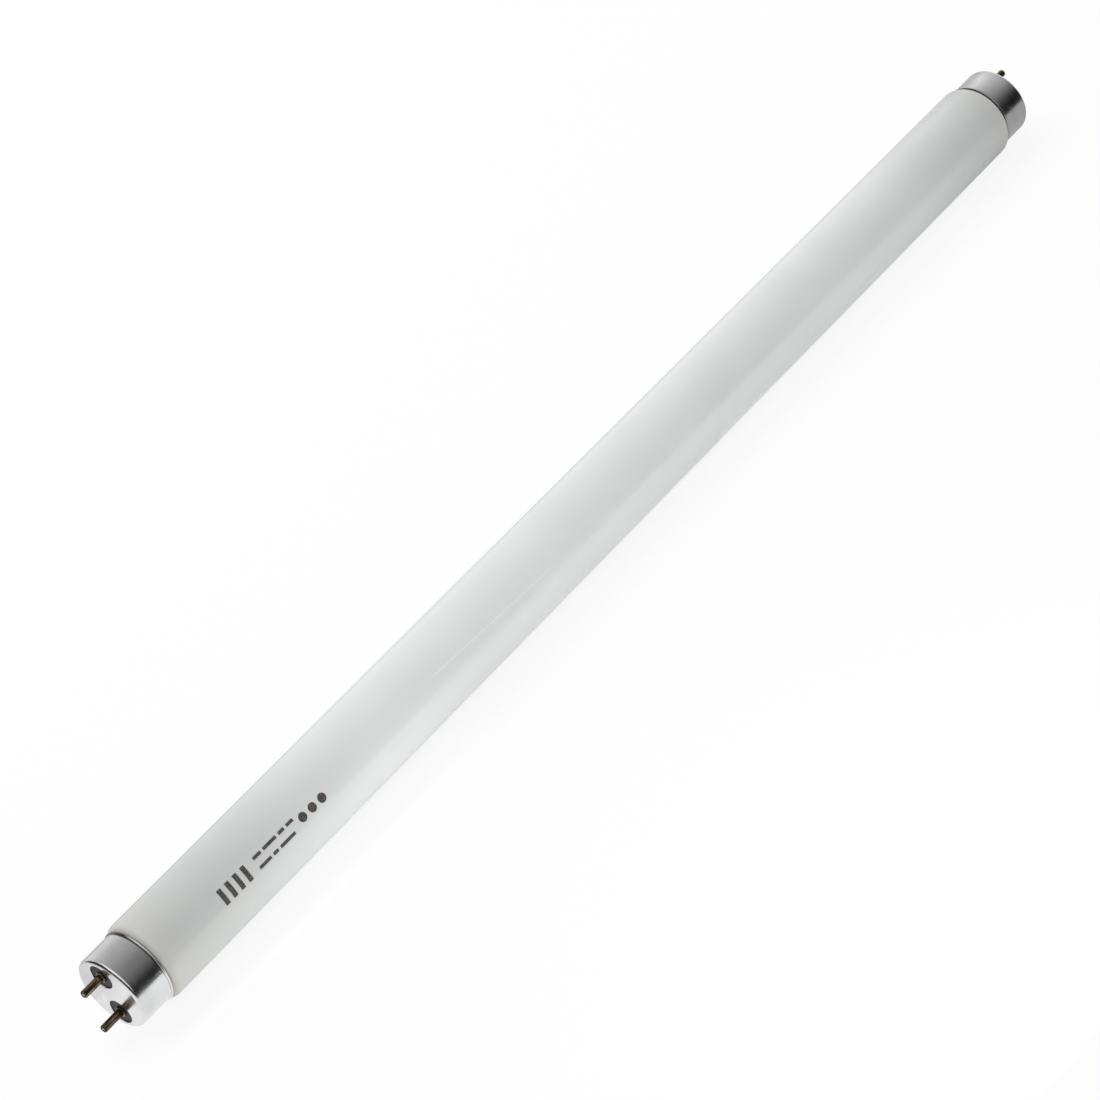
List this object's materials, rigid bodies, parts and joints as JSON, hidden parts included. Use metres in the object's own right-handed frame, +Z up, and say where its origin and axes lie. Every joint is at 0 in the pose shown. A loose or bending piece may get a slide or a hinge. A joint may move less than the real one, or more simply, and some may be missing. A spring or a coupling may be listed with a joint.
{
  "type": "fluorescent tube",
  "caption": "Straight white fluorescent tube with rounded glass shoulders, an aluminium cap on each end and brass contact pins in each cap.",
  "frame": {"origin": "on the surface that the lamp lies on, under the middle of the tube", "axes": "+X along the tube, from the left cap to the right one; +Z up, along the line of each pair of pins"},
  "size_m": [0.4516, 0.026, 0.026],
  "materials": {
    "coated_glass": "clear glass over a white inner coat",
    "cap_aluminium": "drawn, polished",
    "insulator": "moulded",
    "pin_brass": "drawn, dulled",
    "wire_metal": "drawn",
    "solder": "soft solder",
    "cement": "set cement"
  },
  "bodies": {
    "root": {"glass_tube": "coated_glass", "left_cap_shell": "cap_aluminium", "left_insulator_plate": "insulator", "left_cement_ring": "cement", "left_upper_pin": "pin_brass", "left_upper_lead_wire": "wire_metal", "left_upper_tip_solder": "solder", "left_lower_pin": "pin_brass", "left_lower_lead_wire": "wire_metal", "left_lower_tip_solder": "solder", "right_cap_shell": "cap_aluminium", "right_insulator_plate": "insulator", "right_cement_ring": "cement", "right_upper_pin": "pin_brass", "right_upper_lead_wire": "wire_metal", "right_upper_tip_solder": "solder", "right_lower_pin": "pin_brass", "right_lower_lead_wire": "wire_metal", "right_lower_tip_solder": "solder"}
  },
  "joints": []
}
